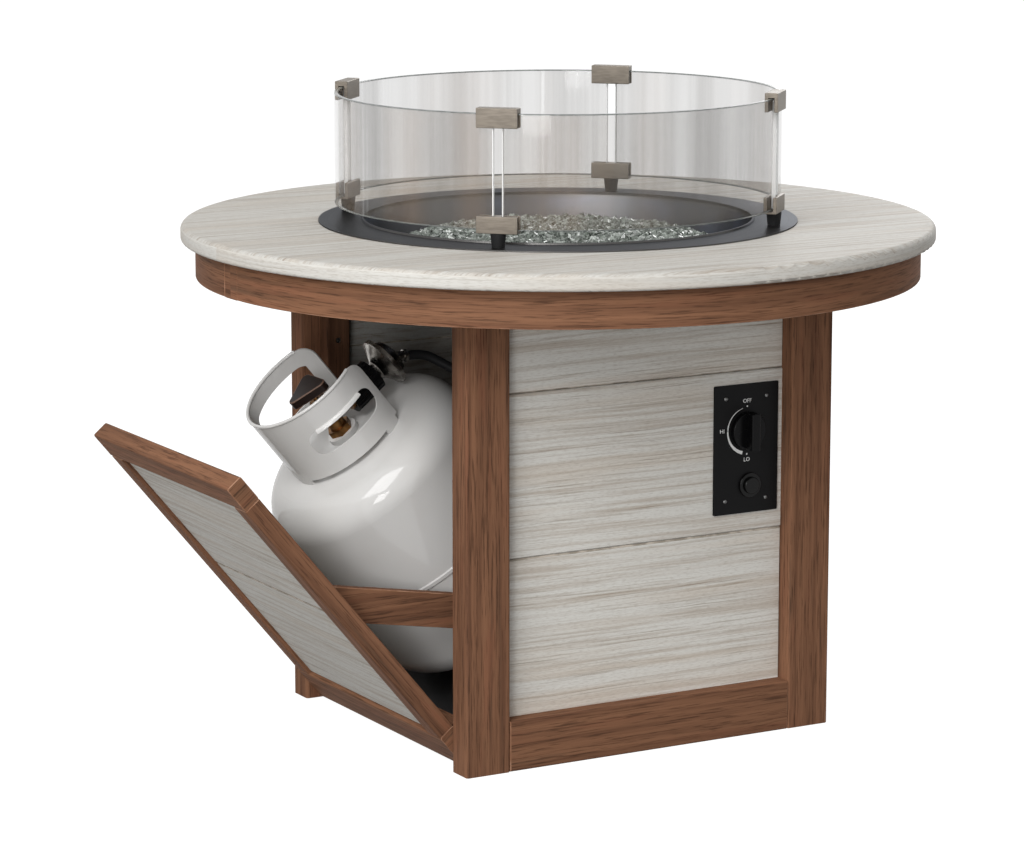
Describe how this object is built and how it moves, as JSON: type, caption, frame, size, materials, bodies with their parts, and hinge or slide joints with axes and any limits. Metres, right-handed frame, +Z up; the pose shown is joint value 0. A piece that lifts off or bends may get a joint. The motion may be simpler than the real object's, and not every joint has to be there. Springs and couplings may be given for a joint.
{
  "type": "fire pit coffee table",
  "caption": "Round gas fire pit table on a boxed wooden base, with a glass wind guard, a control plate and a tilt-out door that carries the gas tank.",
  "frame": {"origin": "on the floor under the middle of the boxed base, at the centre of the four levelling-foot holes", "axes": "+Z up; -Y faces out of the side with the control plate; -X faces out of the side with the tank door, which is stored tilted open"},
  "size_m": [1.2126, 1.1176, 0.9474],
  "materials": {
    "frame_wood": "brown wood-grain poly lumber, satin",
    "panel_wood": "whitewashed wood-grain boards, matt",
    "top_wood": "whitewashed wood-grain panel, satin",
    "pan_steel": "dark brushed steel",
    "fire_glass": "crushed reflective glass",
    "guard_glass": "clear tempered glass",
    "clip_metal": "brushed nickel",
    "screw_steel": "zinc plated",
    "black_rubber": "matt",
    "black_paint": "satin powder coat",
    "black_plastic": "matt",
    "tank_paint": "satin pale grey",
    "valve_brass": "plain",
    "regulator_zinc": "cast zinc, plated",
    "pipe_steel": "plain"
  },
  "bodies": {
    "table": {"apron_back": "frame_wood", "apron_front": "frame_wood", "apron_joint_blocks": "frame_wood", "board_front_high": "panel_wood", "board_front_low": "panel_wood", "board_front_middle": "panel_wood", "boards_back": "panel_wood", "boards_far": "panel_wood", "burner": "pan_steel", "burner_feed_pipe": "pipe_steel", "burner_pan": "pan_steel", "control_plate": "black_paint", "control_plate_screws": "screw_steel", "door_stop_screws": "screw_steel", "door_stops": "frame_wood", "fire_glass": "fire_glass", "gas_hose": "black_rubber", "gas_valve": "valve_brass", "igniter": "black_plastic", "post_door_back": "frame_wood", "post_door_front": "frame_wood", "post_far_back": "frame_wood", "post_far_front": "frame_wood", "rail_high_back": "frame_wood", "rail_high_door": "frame_wood", "rail_high_far": "frame_wood", "rail_high_front": "frame_wood", "rail_low_back": "frame_wood", "rail_low_far": "frame_wood", "rail_low_front": "frame_wood", "table_top": "top_wood"},
    "wind_guard": {"guard_clips_high": "clip_metal", "guard_clips_low": "clip_metal", "guard_feet": "black_rubber", "guard_pane_1": "guard_glass", "guard_pane_2": "guard_glass", "guard_pane_3": "guard_glass", "guard_pane_4": "guard_glass"},
    "door": {"door_board_high": "panel_wood", "door_board_low": "panel_wood", "door_pins": "screw_steel", "door_rail_high": "frame_wood", "door_rail_low": "frame_wood", "door_stile_back": "frame_wood", "door_stile_front": "frame_wood", "regulator": "regulator_zinc", "tank_collar": "tank_paint", "tank_foot_ring": "tank_paint", "tank_shell": "tank_paint", "tank_tray": "black_paint", "tank_valve": "valve_brass", "tray_braces": "frame_wood", "tray_cleat": "frame_wood"},
    "knob": {"control_knob": "black_plastic"},
    "igniter_push": {"igniter_button": "black_plastic"},
    "tank_wheel": {"tank_handwheel": "black_plastic"},
    "gas_nut": {"coupling_nut": "black_plastic"}
  },
  "joints": [
    {"name": "door_tilt", "type": "hinge", "parent": "table", "child": "door", "pos_m": [-0.2935, 0, 0.033], "axis": [0, 1, 0], "range_deg": [0, 39.8], "deforming": ["gas_hose"]},
    {"name": "guard_lift", "type": "slide", "parent": "table", "child": "wind_guard", "axis": [0, 0, 1], "range_m": [0, 0.2]},
    {"name": "knob_turn", "type": "hinge", "parent": "table", "child": "knob", "pos_m": [0.175, -0.266, 0.455], "axis": [0, -1, 0], "range_deg": [0, 180]},
    {"name": "igniter_press", "type": "slide", "parent": "table", "child": "igniter_push", "axis": [0, 1, 0], "range_m": [0, 0.004], "stiffness_N_per_m": 400, "springref_m": -0.002},
    {"name": "wheel_turn", "type": "hinge", "parent": "door", "child": "tank_wheel", "pos_m": [-0.41534, 0, 0.52762], "axis": [-0.6401, 0, 0.7683], "range_deg": [0, 540]},
    {"name": "nut_turn", "type": "hinge", "parent": "door", "child": "gas_nut", "pos_m": [-0.33174, 0, 0.52569], "axis": [0.7683, 0, 0.6401], "range_deg": [-450, 0]}
  ]
}
